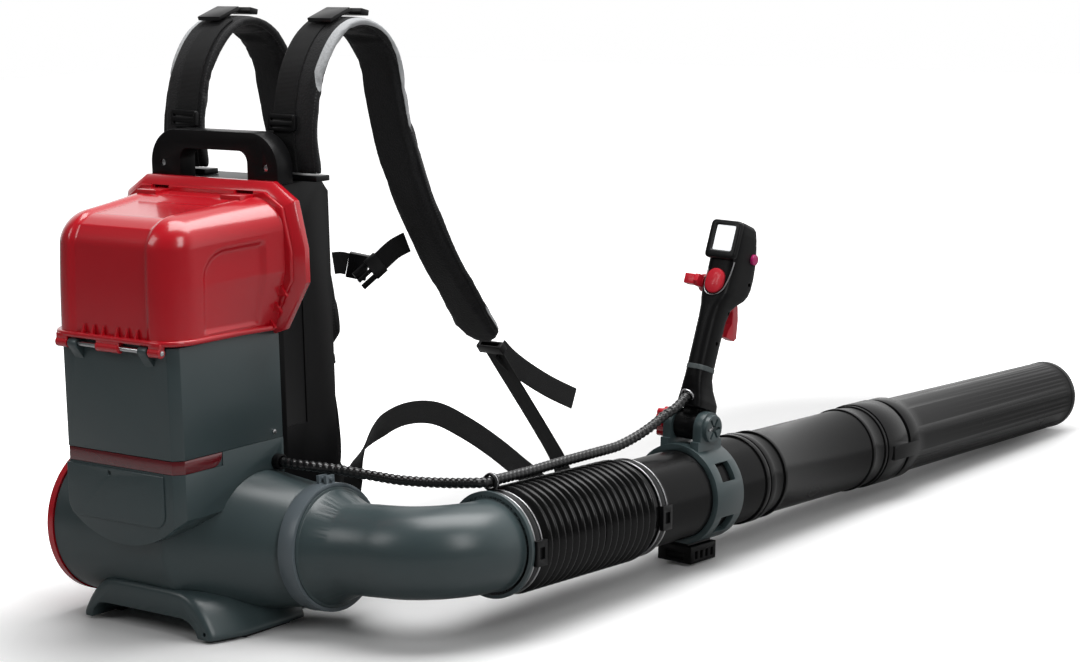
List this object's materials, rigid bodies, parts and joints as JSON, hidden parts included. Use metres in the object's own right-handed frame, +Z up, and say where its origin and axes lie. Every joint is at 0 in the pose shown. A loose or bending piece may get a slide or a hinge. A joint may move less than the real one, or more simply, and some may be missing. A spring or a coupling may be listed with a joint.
{
  "type": "backpack leaf blower",
  "caption": "Backpack leaf blower: framed pack with a lidded battery bay and axial fan, ribbed hose, straight blower tube, control handle and padded harness.",
  "frame": {"origin": "on the floor under the middle of the pack, on the underside of the middle rubber foot", "axes": "+Z up; +Y the way the wearer faces and the tube points; +X the side the air tube leaves on"},
  "size_m": [0.4884, 1.4072, 0.6167],
  "materials": {
    "red_gloss": "glossy red moulded shell",
    "grey_shell": "satin slate-grey moulded plastic",
    "black_shell": "satin black moulded plastic",
    "tube_black": "smooth black tube",
    "hose_black": "glossy ribbed rubber",
    "rubber_black": "matt rubber",
    "cable_black": "cable in a spiral wrap",
    "pad_fabric": "black mesh fabric over foam",
    "webbing_black": "woven black webbing",
    "buckle_black": "moulded buckle",
    "lens_red": "dark red lens",
    "steel": "zinc-plated steel",
    "motor_alloy": "die-cast",
    "winding_copper": "copper windings",
    "board_green": "circuit board",
    "battery_black": "battery case",
    "contact_brass": "contacts",
    "screen_glass": "lit display",
    "control_red": "glossy red control",
    "button_magenta": "glossy magenta button"
  },
  "bodies": {
    "pack": {"back_frame": "black_shell", "harness_plate": "black_shell", "back_pad": "pad_fabric", "carry_handle": "black_shell", "cover_bezel": "red_gloss", "upper_housing": "grey_shell", "light_strip": "lens_red", "lower_housing": "grey_shell", "fan_duct": "grey_shell", "intake_guard": "red_gloss", "base_skid": "grey_shell", "rubber_feet": "rubber_black", "outlet_clamp": "grey_shell", "elbow": "grey_shell", "hose_clamp_rear": "buckle_black", "cable_gland": "black_shell", "motor_housing": "motor_alloy", "stator_core": "winding_copper", "motor_bearings": "steel", "guide_vanes": "black_shell", "tail_cone": "black_shell", "controller": "board_green", "battery_pack": "battery_black", "battery_terminals": "contact_brass", "hinge_pin": "steel", "case_screws": "steel", "cable_rear": "cable_black", "strap_pad_right": "pad_fabric", "strap_pad_left": "pad_fabric", "strap_clips": "buckle_black", "chest_buckle": "buckle_black", "harness_webbing": "webbing_black", "cover_seal": "rubber_black"},
    "cover": {"battery_cover": "red_gloss"},
    "latch_left": {"latch_left": "red_gloss"},
    "latch_right": {"latch_right": "red_gloss"},
    "rotor": {"impeller": "black_shell", "motor_shaft": "steel", "rotor_magnets": "steel"},
    "hose": {"flex_hose": "hose_black", "cable_mid": "cable_black"},
    "tube": {"clamp_tube": "tube_black", "mid_tube": "tube_black", "hose_clamp_front": "buckle_black"},
    "nozzle": {"nozzle_tube": "tube_black"},
    "clamp": {"handle_clamp": "grey_shell", "clamp_block": "black_shell", "tilt_bolt": "steel"},
    "knob": {"lock_knob": "control_red"},
    "handle": {"handle_left": "black_shell", "handle_right": "black_shell", "handle_screen": "screen_glass", "handle_board": "board_green", "cable_front": "cable_black", "trigger_spring": "steel"},
    "trigger": {"trigger": "control_red"},
    "cruise": {"cruise_lever": "control_red"},
    "power": {"power_button": "control_red"},
    "boost": {"boost_button": "button_magenta"}
  },
  "joints": [
    {"name": "cover_hinge", "type": "hinge", "parent": "pack", "child": "cover", "pos_m": [0, -0.185, 0.296], "axis": [1, 0, 0], "range_deg": [0, 100]},
    {"name": "latch_left_pull", "type": "slide", "parent": "cover", "child": "latch_left", "axis": [0, -1, 0], "range_m": [0, 0.0025], "stiffness_N_per_m": 800, "springref_m": -0.002},
    {"name": "latch_right_pull", "type": "slide", "parent": "cover", "child": "latch_right", "axis": [0, -1, 0], "range_m": [0, 0.0025], "stiffness_N_per_m": 800, "springref_m": -0.002},
    {"name": "fan_spin", "type": "hinge", "parent": "pack", "child": "rotor", "pos_m": [0, -0.086, 0.093], "axis": [1, 0, 0], "continuous": true},
    {"name": "hose_yaw", "type": "hinge", "parent": "pack", "child": "hose", "pos_m": [0.30197, 0.08791, 0.08878], "axis": [0, 0, 1], "range_deg": [-25, 18], "deforming": ["flex_hose", "cable_mid"]},
    {"name": "hose_pitch", "type": "hinge", "parent": "hose", "child": "tube", "pos_m": [0.30229, 0.20782, 0.08418], "axis": [1, 0, 0], "range_deg": [0, 40], "deforming": ["flex_hose", "cable_mid"]},
    {"name": "nozzle_lock", "type": "hinge", "parent": "tube", "child": "nozzle", "pos_m": [0.30366, 0.71784, 0.06464], "axis": [0.0027, 0.9993, -0.0383], "range_deg": [0, 30]},
    {"name": "clamp_slide", "type": "slide", "parent": "tube", "child": "clamp", "axis": [0.0027, 0.9993, -0.0383], "range_m": [-0.025, 0.025], "deforming": ["cable_front"]},
    {"name": "handle_tilt", "type": "hinge", "parent": "clamp", "child": "handle", "pos_m": [0.30528, 0.37648, 0.15073], "axis": [0.9994, -0.004, -0.0348], "range_deg": [-30, 30], "deforming": ["cable_front"]},
    {"name": "knob_turn", "type": "hinge", "parent": "clamp", "child": "knob", "pos_m": [0.30528, 0.37648, 0.15073], "axis": [-0.9994, 0.004, 0.0348], "range_deg": [0, 120]},
    {"name": "trigger_pull", "type": "hinge", "parent": "handle", "child": "trigger", "pos_m": [0.3101, 0.44636, 0.28096], "axis": [-0.9994, 0.004, 0.0348], "range_deg": [0, 14], "stiffness_Nm_per_rad": 0.5, "springref_deg": -11.46, "deforming": ["trigger_spring"]},
    {"name": "cruise_turn", "type": "hinge", "parent": "handle", "child": "cruise", "pos_m": [0.29137, 0.43201, 0.29931], "axis": [0.9994, -0.004, -0.0348], "range_deg": [0, 60]},
    {"name": "power_press", "type": "slide", "parent": "handle", "child": "power", "axis": [-0.0093, 0.9273, -0.3743], "range_m": [0, 0.0015], "stiffness_N_per_m": 500, "springref_m": -0.001},
    {"name": "boost_press", "type": "slide", "parent": "handle", "child": "boost", "axis": [-0.9994, 0.004, 0.0348], "range_m": [0, 0.0015], "stiffness_N_per_m": 500, "springref_m": -0.001}
  ]
}
